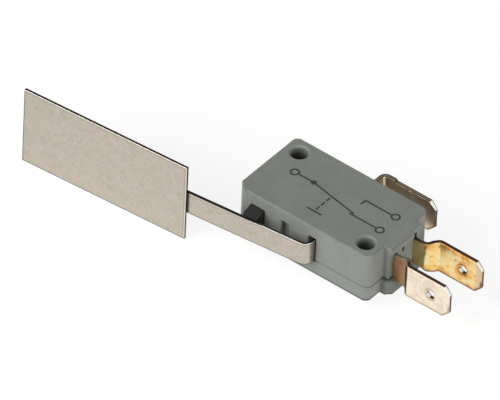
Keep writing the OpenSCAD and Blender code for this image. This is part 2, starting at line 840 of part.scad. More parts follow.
// Round wire along a path, with its rings carried on without twist
module wire(path, d, sides) {
  n = len(path);
  normals = [for (i = 0, v = across([0, 0, 1], heading(path, 0)); i < n;
                  i = i + 1, v = i < n ? across(v, heading(path, i)) : v) v];
  rings = [for (i = [0 : n - 1], k = [0 : sides - 1])
    path[i] + d / 2 * (cos(360 * k / sides) * normals[i]
      + sin(360 * k / sides) * cross(heading(path, i), normals[i]))];
  walls = [for (i = [0 : n - 2], k = [0 : sides - 1])
    [i * sides + k, (i + 1) * sides + k, (i + 1) * sides + (k + 1) % sides, i * sides + (k + 1) % sides]];
  start = [for (k = [0 : sides - 1]) k];
  end = [for (k = [sides - 1 : -1 : 0]) (n - 1) * sides + k];
  polyhedron(rings, concat([start], walls, [end]));
}

module snap_spring() {
  color(spring_color)
    translate([spring_from[0], spring_from[1], mid_z])
      rotate(spring_angle)
        wire(spring_path, wire_d, coil_sides);
}

case();
cover();
plunger();
lever();
paddle();
nc_terminal();
no_terminal();
com_terminal();
nc_contact();
no_contact();
anchor_bracket();
anchor_rivets();
rocker();
contact_arm();
moving_contact();
snap_spring();
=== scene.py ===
"""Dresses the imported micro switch: stamped sheet with sheared edges, moulded body, printed contact sign."""
import math

import bmesh
import bpy
import numpy as np
from mathutils import Matrix, Vector


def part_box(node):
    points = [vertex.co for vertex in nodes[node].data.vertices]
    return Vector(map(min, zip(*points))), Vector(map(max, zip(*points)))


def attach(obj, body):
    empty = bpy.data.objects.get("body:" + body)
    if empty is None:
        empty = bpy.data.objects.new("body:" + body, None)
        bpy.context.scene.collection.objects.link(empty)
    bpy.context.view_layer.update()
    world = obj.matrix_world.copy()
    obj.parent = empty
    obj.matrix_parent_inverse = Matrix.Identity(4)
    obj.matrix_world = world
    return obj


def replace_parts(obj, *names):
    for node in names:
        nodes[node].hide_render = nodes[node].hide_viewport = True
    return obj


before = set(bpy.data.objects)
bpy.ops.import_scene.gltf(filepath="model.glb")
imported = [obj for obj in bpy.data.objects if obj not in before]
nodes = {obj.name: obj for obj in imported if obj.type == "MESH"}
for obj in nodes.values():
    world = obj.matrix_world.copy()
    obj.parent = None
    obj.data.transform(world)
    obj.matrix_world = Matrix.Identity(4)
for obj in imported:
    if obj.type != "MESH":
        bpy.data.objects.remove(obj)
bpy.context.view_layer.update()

MM = 0.001
scene = bpy.context.scene

# Sizes of the body, in millimetres, as the solids have them
MID_Z = 4.95
TOP_Z = 9.9
SEAM_Z = 2.9
FRONT_IN_Y = -6.75
SPARE_X = -3.575
SLOT_W = 1.7
SLOT_H = 4.95
BORES = ((-11.1, 5.15), (11.1, -5.15))

# Sizes of the lever and the paddle
LEVER_X = 2.55
LEVER_Z = 5.2
LEVER_END_Y = -6.2
LEVER_Y = -9.895
LEVER_T = 0.45
LEVER_W = 4.55
LEVER_ANGLE = 5.9
LEVER_BEND_R = 1.5
LEVER_REACH = 23.2
EAR_L = 0.7
EAR_D = 0.5
PADDLE_SET = 1.9
SET_R = 6.0
PADDLE_LAP = 12.0
PADDLE_L = 32.8
PADDLE_H = 15.6
PADDLE_T = 0.5

# Sizes of the terminals
TAB_W = 6.3
TAB_T = 0.8
TAB_L = 8.6
TAB_CHAMFER = 1.3
CHAMFER_TURN = math.radians(45)
TAB_HOLE_R = 0.825
TAB_HOLE_RUN = 3.9
NECK_W = 5.2
SHOULDER_BACK = 3.1
SHOULDER_RUN = 2.0
BLADE_X0 = 8.6
JOGGLE_ANGLE = 52.0
JOGGLE_R = 0.8
NC_Y = -2.2
NC_JOGGLE = 1.3
NC_TAB_X = 19.1
NO_Y = 3.05
NO_JOGGLE = 1.7
NO_TAB_X = 19.4
COM_X = 1.9
COM_IN_X = -4.475
COM_IN_Y = 5.4
COM_TAB_Y = 11.55
COM_BEND_R = 1.0
COM_ROOT_L = 2.4
COM_ROOT_W = 6.9
COM_TAB_L = 8.6
COM_STEP_Y = 8.95

# Edges of the stamped sheet, in millimetres, and the steps of a quarter circle round them
STRIP_EDGE = 0.04
TAB_EDGE = 0.06
ROUND_STEPS = 4
WALL_POWER = 4

# Meshing: doubles and slivers in metres, and the angle up to which faces shade as one
MERGE = 2e-8
SLIVER = 1e-8
SMOOTH_ANGLE = math.radians(35)


# Bent sheet: a mid line of straight runs and arcs, and what is carried along it

def bent_line(steps, start, heading):
    """Returns a function of the distance s along a bent line: place x, y and heading there.

    Each step is a straight run, then a turn in degrees at a radius. On a run the point moves on by s
    along the heading. On an arc it is the centre plus the radius, turned by s over the radius."""
    parts = []
    at = np.array(start, float)
    angle = math.radians(heading)
    s = 0.0
    for run, turn, radius in steps:
        if run > 0:
            parts.append((s, s + run, at.copy(), angle, 0.0, 0.0))
            at = at + run * np.array([math.cos(angle), math.sin(angle)])
            s += run
        if turn:
            side = math.copysign(1.0, turn)
            swing = math.radians(abs(turn))
            parts.append((s, s + radius * swing, at.copy(), angle, side, radius))
            centre = at + side * radius * np.array([-math.sin(angle), math.cos(angle)])
            angle += side * swing
            at = centre - side * radius * np.array([-math.sin(angle), math.cos(angle)])
            s += radius * swing

    def line(where):
        """Place and heading at distances along the line: each part gives those that lie on it."""
        where = np.asarray(where, float)
        x = np.zeros_like(where)
        y = np.zeros_like(where)
        turned = np.zeros_like(where)
        for i, (s0, s1, p, a, side, radius) in enumerate(parts):
            low = -np.inf if i == 0 else s0
            high = np.inf if i == len(parts) - 1 else s1
            here = (where >= low) & (where < high)
            d = where - s0
            if side:
                b = a + side * d / radius
                cx = p[0] - side * radius * math.sin(a)
                cy = p[1] + side * radius * math.cos(a)
                px = cx + side * radius * np.sin(b)
                py = cy - side * radius * np.cos(b)
            else:
                b = np.full_like(where, a)
                px = p[0] + d * math.cos(a)
                py = p[1] + d * math.sin(a)
            x = np.where(here, px, x)
            y = np.where(here, py, y)
            turned = np.where(here, b, turned)
        return x, y, turned

    return line, s


def on_line(line, s, z, h):
    """Points of a sheet: the place on its mid line at s, moved by h along the left normal, at height z."""
    x, y, turned = line(s)
    return np.stack([x - h * np.sin(turned), y + h * np.cos(turned), z], -1)


def quads(rows, cols, wrap=False):
    """Corner numbers of the quads of a grid of rows by cols points, closed across the columns if asked."""
    r = np.arange(rows - 1)[:, None]
    c = np.arange(cols if wrap else cols - 1)[None, :]
    n = (c + 1) % cols
    corners = [r * cols + c, r * cols + n, (r + 1) * cols + n, (r + 1) * cols + c]
    return np.stack(corners, -1).reshape(-1, 4)


def ramp(value, start, full):
    """Straight share of a value from 0 at start to 1 at full, and flat beyond them."""
    return np.clip((value - start) / (full - start), 0, 1)


def round_over():
    """Share across and share down of a quarter circle, from the face round to the wall."""
    a = np.linspace(0, np.pi / 2, ROUND_STEPS)
    return np.sin(a), 1 - np.cos(a)


def even(n):
    """Evenly spread shares across a face, from -1 to 1."""
    return np.linspace(-1, 1, n)


def marks(shape, **given):
    """Point values that the finishes read, as arrays of one shape: zero where none is given.

    rim is the share of cut wall, run the distance along the sheet, near that from the closest edge,
    level the place across the thickness, up the height in the sheet, worn bright wear and
    a painted highlight or, below zero, a dark end of painted shade, burnt a heat stain and painted
    shade."""
    labels = ("rim", "run", "near", "level", "up", "worn", "burnt")
    return {label: np.broadcast_to(given.get(label, 0.0), shape) for label in labels}


def no_dent(s, z):
    """A back face that is flat all over."""
    return np.zeros_like(z)


def strip_rows(line, s, half_w, half_t, edge, across, mid, dent=no_dent):
    """A rounded flat section carried along a bent line, with its height centred on mid.

    At each s the section runs across the front face, round the edge by a quarter circle, down the
    wall, round again, back across the other face and up the other wall. Widths and thicknesses are
    arrays over s. The back face is pressed in by dent, a function of s and height."""
    up, down = round_over()
    w = half_w[:, None]
    t = half_t[:, None]
    flat = (w - edge) * across[None, :]
    run = np.repeat(s[:, None], len(across), 1)
    front = np.repeat(t, len(across), 1)
    rear = dent(run, flat) - front
    side_z = (w - edge) + edge * up[None, 1:]
    side_h = t - edge * down[None, 1:]
    z = np.concatenate([flat, side_z, side_z[:, ::-1], flat[:, ::-1], -side_z, -side_z[:, ::-1]], 1)
    h = np.concatenate([front, side_h, -side_h[:, ::-1], rear[:, ::-1], -side_h, side_h[:, ::-1]], 1)
    wall = up[1:] ** WALL_POWER
    plain = np.zeros(len(across))
    rim = np.concatenate([plain, wall, wall[::-1], plain, wall, wall[::-1]])
    run = np.repeat(s[:, None], z.shape[1], 1)
    values = marks(z.shape, rim=rim[None, :], run=run, near=w - np.abs(z), level=h / t, up=z)
    return on_line(line, run, mid + z, h), values


def end_rows(length, reach):
    """Distances and insets of the rows that round the far end of a strip over by a quarter circle."""
    up, down = round_over()
    return length - reach + reach * up, reach * down


def capped(points, values, last=True):
    """A chunk from strip rows, with a flat face at the first end, and at the last one if asked."""
    rows, cols = points.shape[:2]
    blocks = [quads(rows, cols, wrap=True), np.arange(cols)[None]]
    if last:
        blocks.append((rows - 1) * cols + np.arange(cols)[None])
    return points, values, blocks


def piece(name, chunks, material, body):
    """One mesh object from chunks of points, values and faces, merged, with the values as attributes."""
    flat = [points.reshape(-1, 3) for points, _, _ in chunks]
    starts = np.cumsum([0] + [len(points) for points in flat])
    faces = []
    for (_, _, blocks), start in zip(chunks, starts):
        for block in blocks:
            faces += (block + start).tolist()
    mesh = bpy.data.meshes.new(name)
    mesh.from_pydata((np.concatenate(flat) * MM).tolist(), [], faces)
    for label in chunks[0][1]:
        values = np.concatenate([marked[label].reshape(-1) for _, marked, _ in chunks])
        mesh.attributes.new(label, "FLOAT", "POINT").data.foreach_set("value", values.astype(np.float32))
    bm = bmesh.new()
    bm.from_mesh(mesh)
    bmesh.ops.remove_doubles(bm, verts=bm.verts, dist=MERGE)
    bmesh.ops.dissolve_degenerate(bm, edges=bm.edges, dist=SLIVER)
    bmesh.ops.recalc_face_normals(bm, faces=bm.faces)
    bm.to_mesh(mesh)
    bm.free()
    mesh.polygons.foreach_set("use_smooth", np.ones(len(mesh.polygons), bool))
    mesh.set_sharp_from_angle(angle=SMOOTH_ANGLE)
    obj = bpy.data.objects.new(name, mesh)
    scene.collection.objects.link(obj)
    mesh.materials.append(material)
    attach(obj, body)
    return obj


# Nodes of the materials

def fill(tree, socket, value):
    """Links a socket to another one, or sets it to a number, a vector or a colour."""
    if isinstance(value, bpy.types.NodeSocket):
        tree.links.new(value, socket)
    elif socket.type == "RGBA":
        socket.default_value = (*value, 1.0)
    else:
        socket.default_value = value


def add(tree, kind, **values):
    """A node with its properties set, and its inputs filled, by name."""
    node = tree.nodes.new(kind)
    for key, value in values.items():
        if key in node.bl_rna.properties:
            setattr(node, key, value)
        else:
            fill(tree, node.inputs[key.replace("_", " ")], value)
    return node


def math_node(tree, operation, a, b=0.0, clamp=False):
    """A math node; a and b are sockets or numbers."""
    node = add(tree, "ShaderNodeMath", operation=operation, use_clamp=clamp)
    fill(tree, node.inputs[0], a)
    fill(tree, node.inputs[1], b)
    return node.outputs[0]


def times(tree, a, b):
    """Product of two sockets or numbers."""
    return math_node(tree, "MULTIPLY", a, b)


def between(tree, value, low, high):
    """Smooth share of a value from 0 at low to 1 at high; either may be the greater."""
    node = add(tree, "ShaderNodeMapRange", interpolation_type="SMOOTHSTEP", Value=value, From_Min=low,
               From_Max=high)
    return node.outputs["Result"]


def scaled(tree, value, low, high):
    """Turns a value from 0 to 1 into one from low to high."""
    return add(tree, "ShaderNodeMapRange", Value=value, To_Min=low, To_Max=high).outputs["Result"]


def mix(tree, share, a, b):
    """Colour mix by a share; a and b are sockets or colours, at the node's own places for colours."""
    node = add(tree, "ShaderNodeMix", data_type="RGBA", clamp_factor=True)
    fill(tree, node.inputs[0], share)
    fill(tree, node.inputs[6], a)
    fill(tree, node.inputs[7], b)
    return node.outputs[2]


def laid(tree, tone, colour, *shares):
    """A colour laid over a tone by the product of the shares."""
    share = shares[0]
    for more in shares[1:]:
        share = times(tree, share, more)
    return mix(tree, share, tone, colour)


def attribute(tree, name):
    """Value of a piece's own point attribute."""
    return add(tree, "ShaderNodeAttribute", attribute_name=name).outputs["Fac"]


def object_place(tree):
    """Place of a point in its object."""
    return add(tree, "ShaderNodeTexCoord").outputs["Object"]


def noise(tree, place, scale, detail, rough):
    """Noise from 0 to 1 at a place, with its fineness in waves a metre."""
    node = add(tree, "ShaderNodeTexNoise", Vector=place, Scale=scale, Detail=detail, Roughness=rough)
    return node.outputs["Fac"]


# Shared effects, as shader node groups

BEVEL_SAMPLES = 6

# Detail and roughness of the noises
CLOUDS = (4.0, 0.6)
SPECKS = (2.0, 0.6)
STREAKS = (3.0, 0.65)
GRAIN = (2.0, 0.7)

# Streaks are drawn out along the sheet, and make this share of its height
STREAK_SQUEEZE = (0.06, 1.0, 1.0)
STREAK_SHARE = 0.4

# Painted shade begins above the flat underside, and within reach of a hole's axis, in millimetres
OFF_FLOOR = (0.02, 0.1)
BORE_REACH = (2.1, 1.7)

# Bands of the cut walls: level across the thickness, wear and painted light, and rim, each from none to full
TORN_LEVEL = (0.55, 0.3)
TORN_UNLESS_SHADED = (-0.8, -0.2)
ROLLED_LEVEL = (-0.3, -0.65)
BRIGHT_WEAR_AND_HIGHLIGHT = (0.4, 0.9)
BRIGHT_LEVEL = (0.75, 0.45)
WALL_RIM = (0.3, 0.8)


def new_group(name, inputs, outputs):
    """An empty shader group of float sockets, but for an output named Normal, which is a vector."""
    tree = bpy.data.node_groups.new(name, "ShaderNodeTree")
    for label in inputs:
        tree.interface.new_socket(label, in_out="INPUT", socket_type="NodeSocketFloat")
    for label in outputs:
        kind = "NodeSocketVector" if label == "Normal" else "NodeSocketFloat"
        tree.interface.new_socket(label, in_out="OUTPUT", socket_type=kind)
    return tree, tree.nodes.new("NodeGroupInput").outputs, tree.nodes.new("NodeGroupOutput").inputs


def make_edge_group():
    """How near a point lies to a sharp edge: the angle between its normal and a normal rounded there."""
    tree, given, out = new_group("edge_touch", ("Width", "Gain"), ("Mask", "Normal"))
    rounded = add(tree, "ShaderNodeBevel", samples=BEVEL_SAMPLES, Radius=given["Width"]).outputs["Normal"]
    dot = add(tree, "ShaderNodeVectorMath", operation="DOT_PRODUCT")
    fill(tree, dot.inputs[0], rounded)
    fill(tree, dot.inputs[1], add(tree, "ShaderNodeNewGeometry").outputs["Normal"])
    away = math_node(tree, "SUBTRACT", 1.0, dot.outputs["Value"])
    fill(tree, out["Mask"], math_node(tree, "MULTIPLY", away, given["Gain"], clamp=True))
    fill(tree, out["Normal"], rounded)
    return tree


def make_mottle_group():
    """Soft clouds and fine specks of a surface, each from 0 to 1 round a middle of a half."""
    tree, given, out = new_group("mottle", ("Cloud", "Speck"), ("Clouds", "Specks"))
    place = object_place(tree)
    fill(tree, out["Clouds"], noise(tree, place, given["Cloud"], *CLOUDS))
    fill(tree, out["Specks"], noise(tree, place, given["Speck"], *SPECKS))
    return tree


def make_rolled_group():
    """Rolled sheet: fine streaks along the strip and grain between them, and their height."""
    tree, given, out = new_group("rolled_sheet", ("Streak", "Grain"), ("Streaks", "Grain", "Height"))
    place = object_place(tree)
    drawn = add(tree, "ShaderNodeMapping", Vector=place, Scale=STREAK_SQUEEZE).outputs["Vector"]
    streaks = noise(tree, drawn, given["Streak"], *STREAKS)
    grain = noise(tree, place, given["Grain"], *GRAIN)
    fill(tree, out["Streaks"], streaks)
    fill(tree, out["Grain"], grain)
    streak_height = times(tree, streaks, STREAK_SHARE)
    grain_height = times(tree, grain, 1 - STREAK_SHARE)
    fill(tree, out["Height"], math_node(tree, "ADD", streak_height, grain_height))
    return tree


def make_shade_group():
    """Painted shade that is full at one place along an axis and gone at another, and never on the flat
    underside.

    In the bores it is the painted shade along the height, within reach of the distance from either hole's
    axis."""
    tree, given, out = new_group("painted_shade", ("Full", "Gone"), ("Along X", "Along Z", "In Bores"))
    x, y, z = add(tree, "ShaderNodeSeparateXYZ", Vector=object_place(tree)).outputs
    off_floor = between(tree, z, OFF_FLOOR[0] * MM, OFF_FLOOR[1] * MM)
    along_x, along_z = [times(tree, between(tree, place, given["Gone"], given["Full"]), off_floor)
                        for place in (x, z)]
    inside = 0.0
    for bore_x, bore_y in BORES:
        dx = math_node(tree, "SUBTRACT", x, bore_x * MM)
        dy = math_node(tree, "SUBTRACT", y, bore_y * MM)
        square = math_node(tree, "ADD", times(tree, dx, dx), times(tree, dy, dy))
        away = math_node(tree, "SQRT", square)
        reached = between(tree, away, BORE_REACH[0] * MM, BORE_REACH[1] * MM)
        inside = math_node(tree, "ADD", reached, inside)
    fill(tree, out["Along X"], along_x)
    fill(tree, out["Along Z"], along_z)
    fill(tree, out["In Bores"], times(tree, along_z, inside))
    return tree


def make_wall_group():
    """Where stamped sheet shows its cut walls, and the bands on them by the level across the thickness.

    A torn band lies in mid sheet, but not on a tip's end, which stays dark as painted shade, and a rolled
    band by the front face. Walls with wear and chamfers with a painted highlight are bright up to a dark line
    by the back face."""
    tree, _, out = new_group("cut_walls", (), ("Wall", "Torn", "Rolled", "Bright"))
    level = attribute(tree, "level")
    worn = attribute(tree, "worn")
    middle = between(tree, math_node(tree, "ABSOLUTE", level), *TORN_LEVEL)
    fill(tree, out["Torn"], times(tree, middle, between(tree, worn, *TORN_UNLESS_SHADED)))
    fill(tree, out["Rolled"], between(tree, level, *ROLLED_LEVEL))
    shine = times(tree, between(tree, worn, *BRIGHT_WEAR_AND_HIGHLIGHT), between(tree, level, *BRIGHT_LEVEL))
    fill(tree, out["Bright"], shine)
    fill(tree, out["Wall"], between(tree, attribute(tree, "rim"), *WALL_RIM))
    return tree


EDGE = make_edge_group()
MOTTLE = make_mottle_group()
ROLLED = make_rolled_group()
SHADE_GROUP = make_shade_group()
WALLS = make_wall_group()


def grouped(tree, group, **values):
    """Places a shared group in a material, with its own values, and returns its outputs."""
    node = tree.nodes.new("ShaderNodeGroup")
    node.node_tree = group
    for key, value in values.items():
        node.inputs[key].default_value = value
    return node.outputs


# Finishes: noise in waves a metre, spans of a noise or a distance from none to full, shares, depths in metres

def new_material(name, **values):
    """A material with a Principled BSDF whose uniform values are set by socket name."""
    material = bpy.data.materials.new(name)
    material.use_nodes = True
    tree = material.node_tree
    shader = tree.nodes["Principled BSDF"]
    for key, value in values.items():
        shader.inputs[key.replace("_", " ")].default_value = value
    return material, tree, shader


def finish(tree, shader, tone, rough, height, depth, strength, **normal):
    """Feeds a tone, a roughness and a height into the shader, the height over a given normal if any."""
    bump = add(tree, "ShaderNodeBump", Strength=strength, Distance=depth, Height=height, **normal)
    fill(tree, shader.inputs["Base Color"], tone)
    fill(tree, shader.inputs["Roughness"], rough)
    fill(tree, shader.inputs["Normal"], bump.outputs["Normal"])


PLASTIC_NOISE = dict(Cloud=260.0, Speck=4200.0)
PLASTIC_CLOUDS = (0.3, 0.7)
PLASTIC_SPECKS = (0.35, 0.75)
PLASTIC_SPECK_SHARE = 0.25
# Paler edges of rubbed wear and painted highlight: gain of the edge mask and share of the paler tone
RUB_AND_HIGHLIGHT_GAIN = 2.6
RUB_AND_HIGHLIGHT_SHARE = 0.4
SPARK_DEPTH = 0.00002
# Tone of the painted shade on the body
SHADE_TONE = (0.06, 0.064, 0.06)


def moulded_plastic(name, dark, light, rubbed, rough, edge_width, grain=0.35, ior=1.5, shades=()):
    """Moulded plastic: soft clouds between two tones, paler edges of rubbed wear and painted highlight,
    painted shade, a fine spark-eroded grain.

    Each shade names a mask of the painted shade, the places where it is full and gone, and its share."""
    material, tree, shader = new_material(name, IOR=ior)
    mottle = grouped(tree, MOTTLE, **PLASTIC_NOISE)
    edge = grouped(tree, EDGE, Width=edge_width, Gain=RUB_AND_HIGHLIGHT_GAIN)
    specks = mottle["Specks"]
    tone = mix(tree, between(tree, mottle["Clouds"], *PLASTIC_CLOUDS), dark, light)
    tone = laid(tree, tone, rubbed, between(tree, specks, *PLASTIC_SPECKS), PLASTIC_SPECK_SHARE)
    # Paler sharp edges: rubbed wear and a painted highlight
    tone = laid(tree, tone, rubbed, edge["Mask"], RUB_AND_HIGHLIGHT_SHARE)
    # Painted shade laid over the tone by each mask
    for where, full, gone, share in shades:
        painted_shade = grouped(tree, SHADE_GROUP, Full=full * MM, Gone=gone * MM)
        tone = laid(tree, tone, SHADE_TONE, painted_shade[where], share)
    roughness = scaled(tree, specks, *rough)
    finish(tree, shader, tone, roughness, specks, SPARK_DEPTH, grain, Normal=edge["Normal"])
    return material


def cut_edges(tree, tone, sheared, torn, rolled, bright):
    """Colours the walls of stamped sheet: sheared metal whose dark tone is partly painted shade, the torn and
    the rolled band, bright wear and painted highlight.
    """
    walls = grouped(tree, WALLS)
    wall = mix(tree, walls["Torn"], sheared, torn)
    wall = mix(tree, walls["Rolled"], wall, rolled)
    wall = mix(tree, walls["Bright"], wall, bright)
    return mix(tree, walls["Wall"], tone, wall)


SHEET_NOISE = dict(Cloud=620.0, Speck=900.0)
SHEET_DEPTH = 0.000006

STEEL_ROLLED = dict(Streak=900.0, Grain=3000.0)
STEEL_CLOUDS = (0.4, 0.6)
STEEL_GRAIN = (0.6, 0.3)
STEEL_GRAIN_SHARE = 0.45
STEEL_SPOTS = (0.45, 0.75)
STEEL_SPOT_SHARE = 0.35
STEEL_BUMP = 0.5
UPPER_HALF = (-0.3, 0.3)
LOWER_HALF = (0.3, -0.3)
# A band of painted shade below upper edges, and a painted highlight line along them
SHADE_BAND = (0.6, 0.3)
SHADE_BAND_SHARE = 0.75
HIGHLIGHT_LINE = (0.24, 0.12)
# Thin dark line along lower edges
LOWER_LINE = (0.28, 0.08)


def stamped_steel(name, tones, deep, pale, low_line, burnt, wall, rubbed, rough):
    """Rolled strip: clouds of two tones with grain and spots, edge lines, heat stain and painted shade, dark
    cut walls that are partly painted shade.

    Along upper edges a painted highlight line lies over a band of painted shade, along lower edges a thin
    dark line."""
    material, tree, shader = new_material(name, Metallic=1.0)
    rolled = grouped(tree, ROLLED, **STEEL_ROLLED)
    mottle = grouped(tree, MOTTLE, **SHEET_NOISE)
    near = attribute(tree, "near")
    up = attribute(tree, "up")
    upper = between(tree, up, *UPPER_HALF)
    lower = between(tree, up, *LOWER_HALF)
    tone = mix(tree, between(tree, mottle["Clouds"], *STEEL_CLOUDS), *tones)
    tone = laid(tree, tone, deep, between(tree, rolled["Grain"], *STEEL_GRAIN), STEEL_GRAIN_SHARE)
    tone = laid(tree, tone, deep, between(tree, mottle["Specks"], *STEEL_SPOTS), STEEL_SPOT_SHARE)
    # Painted shade below upper edges and a painted highlight line on them
    tone = laid(tree, tone, deep, between(tree, near, *SHADE_BAND), upper, SHADE_BAND_SHARE)
    tone = laid(tree, tone, pale, between(tree, near, *HIGHLIGHT_LINE), upper)
    tone = laid(tree, tone, low_line, between(tree, near, *LOWER_LINE), lower)
    tone = laid(tree, tone, burnt, attribute(tree, "burnt"))
    tone = cut_edges(tree, tone, wall, wall, wall, rubbed)
    roughness = scaled(tree, rolled["Streaks"], *rough)
    finish(tree, shader, tone, roughness, rolled["Height"], SHEET_DEPTH, STEEL_BUMP)
    return material


TAB_ROLLED = dict(Streak=1400.0, Grain=4200.0)
TAB_CLOUDS = (0.38, 0.62)
TAB_SPOTS = (0.58, 0.7)
STAIN_CORE = 0.15
STAIN_PATCHES = (0.6, 0.4)
STAIN_LEAST = 0.3
RUN_WANDER = 0.5
TIP_SHARE = 0.75
FRONT_LEVEL = (0.3, -0.3)
FOOT_HIGHLIGHT_RISE = (-0.8, -2.6)
FOOT_HIGHLIGHT_SHARE = 0.8
LOWER_LINE_REACH = (0.5, 0.2)
LOWER_LINE_RISE = (0.0, -1.0)
LOWER_LINE_SHARE = 0.9
NECK_FLECKS = (0.35, 0.65)
NECK_LEAST = 0.9
NECK_METALLIC = 0.2


def plated_tab(name, face, pale, speck, speck_share, stain, stain_reach, burnt, tip, tip_run, band,
               band_in, band_out, band_share, walls, rough, neck=None, neck_run=None, foot_highlight=None, grain=0.5):
    """Tab metal: clouds between two tones, specks, stained edges, the tarnished neck, the tip, cut walls.

    Stain lies within its reach of an edge or the hole, broken up by the clouds, and a thin dark line
    along the lower edge. Neck, tip and a band on the front of the bend are told by the run along the
    sheet. The neck is dull, so its metal shows less. The lower part of the front gets a painted highlight."""
    material, tree, shader = new_material(name, Metallic=1.0)
    rolled = grouped(tree, ROLLED, **TAB_ROLLED)
    mottle = grouped(tree, MOTTLE, **SHEET_NOISE)
    patch = mottle["Clouds"]
    near = attribute(tree, "near")
    run = attribute(tree, "run")
    up = attribute(tree, "up")
    front = between(tree, attribute(tree, "level"), *FRONT_LEVEL)
    wandering = math_node(tree, "ADD", run, scaled(tree, patch, -RUN_WANDER, RUN_WANDER))
    tone = mix(tree, between(tree, patch, *TAB_CLOUDS), face, pale)
    edge = between(tree, near, stain_reach, STAIN_CORE * stain_reach)
    patchy = scaled(tree, between(tree, patch, *STAIN_PATCHES), STAIN_LEAST, 1.0)
    tone = laid(tree, tone, stain, edge, patchy)
    tone = laid(tree, tone, tip, between(tree, wandering, *tip_run), TIP_SHARE)
    tone = laid(tree, tone, speck, between(tree, mottle["Specks"], *TAB_SPOTS), speck_share)
    tone = laid(tree, tone, burnt, attribute(tree, "burnt"))
    # Band on the front of the bend: painted shade on the closed-contact tab, a painted highlight on the
    # common tab
    bend = times(tree, between(tree, run, *band_in), between(tree, run, *band_out))
    tone = laid(tree, tone, band, bend, front, band_share)
    # The lower part of the front gets a painted highlight
    if foot_highlight:
        tone = laid(tree, tone, foot_highlight, between(tree, up, *FOOT_HIGHLIGHT_RISE), front, FOOT_HIGHLIGHT_SHARE)
    # Thin dark line along the lower edge
    low = between(tree, up, *LOWER_LINE_RISE)
    tone = laid(tree, tone, burnt, between(tree, near, *LOWER_LINE_REACH), low, LOWER_LINE_SHARE)
    if neck:
        dull = between(tree, wandering, *neck_run)
        flecks = scaled(tree, between(tree, patch, *NECK_FLECKS), NECK_LEAST, 1.0)
        tone = laid(tree, tone, neck, dull, flecks)
        fill(tree, shader.inputs["Metallic"], scaled(tree, dull, 1.0, NECK_METALLIC))
    tone = cut_edges(tree, tone, **walls)
    roughness = scaled(tree, rolled["Grain"], *rough)
    finish(tree, shader, tone, roughness, rolled["Height"], SHEET_DEPTH, grain)
    return material


INNER_NOISE = dict(Cloud=500.0, Speck=5200.0)
INNER_SPECKS = (0.3, 0.7)
INNER_EDGE = dict(Width=0.00008, Gain=2.0)
INNER_EDGE_SHARE = 0.5
INNER_DEPTH = 0.000005
INNER_BUMP = 0.4


def plain_metal(name, face, deep, rough):
    """Inner metal: two tones by grain and soft edges."""
    material, tree, shader = new_material(name, Metallic=1.0)
    mottle = grouped(tree, MOTTLE, **INNER_NOISE)
    edge = grouped(tree, EDGE, **INNER_EDGE)
    specks = mottle["Specks"]
    tone = mix(tree, between(tree, specks, *INNER_SPECKS), deep, face)
    tone = laid(tree, tone, face, edge["Mask"], INNER_EDGE_SHARE)
    roughness = scaled(tree, mottle["Clouds"], *rough)
    finish(tree, shader, tone, roughness, specks, INNER_DEPTH, INNER_BUMP, Normal=edge["Normal"])
    return material


# Painted shades of the body: a mask of the painted shade, where it is full and gone in millimetres, and its
# share
# Painted shade just above the seam, all round the case
SEAM_SHADE = ("Along Z", SEAM_Z, SEAM_Z + 0.4, 0.95)
# Painted shade deeper down the bores
BORE_SHADE = ("In Bores", 7.5, 9.5, 0.65)
# Painted shade along the bottom edge of the cover
FOOT_SHADE = ("Along Z", 0.15, 0.65, 0.9)
# Painted shade on the cover's ledge at the terminal end
LEDGE_SHADE = ("Along X", 14.6, 13.9, 0.42)

GREY = dict(dark=(0.228, 0.243, 0.220), light=(0.262, 0.279, 0.251), rubbed=(0.34, 0.359, 0.33),
            rough=(0.48, 0.62), edge_width=0.00022)
CASE = moulded_plastic("case_plastic", **GREY, shades=(SEAM_SHADE, BORE_SHADE))
COVER = moulded_plastic("cover_plastic", **GREY, shades=(FOOT_SHADE, LEDGE_SHADE))
PLUNGER = moulded_plastic(
    "plunger_plastic", dark=(0.008, 0.008, 0.0085), light=(0.013, 0.013, 0.0135),
    rubbed=(0.035, 0.035, 0.037), rough=(0.34, 0.46), edge_width=0.0002, ior=1.4)
INK = moulded_plastic(
    "print_ink", dark=(0.018, 0.02, 0.018), light=(0.035, 0.037, 0.034), rubbed=(0.07, 0.073, 0.068),
    rough=(0.5, 0.65), edge_width=0.00005, grain=0.2)
STEEL = stamped_steel(
    "lever_steel", tones=((0.515, 0.487, 0.39), (0.565, 0.483, 0.432)), deep=(0.38, 0.34, 0.285),
    pale=(0.72, 0.66, 0.60), low_line=(0.14, 0.12, 0.105), burnt=(0.16, 0.13, 0.105),
    wall=(0.018, 0.016, 0.015), rubbed=(0.06, 0.056, 0.05), rough=(0.26, 0.4))
NC_METAL = plated_tab(
    "tinned_tab", face=(0.78, 0.66, 0.52), pale=(0.90, 0.79, 0.63),
    speck=(0.60, 0.48, 0.38), speck_share=0.5, stain=(0.76, 0.63, 0.5), stain_reach=0.5,
    burnt=(0.45, 0.35, 0.25), tip=(0.9, 0.8, 0.66), tip_run=(18.2, 18.6),
    # band: painted shade along the front of the joggle's bend
    band=(0.10, 0.07, 0.05), band_in=(10.25, 10.45), band_out=(10.95, 10.75), band_share=1.0,
    walls=dict(sheared=(0.03, 0.022, 0.017), torn=(0.05, 0.035, 0.025), rolled=(0.4, 0.31, 0.24),
               bright=(0.95, 0.93, 0.88)),
    rough=(0.24, 0.36), neck=(0.32, 0.155, 0.058), neck_run=(9.2, 8.8))
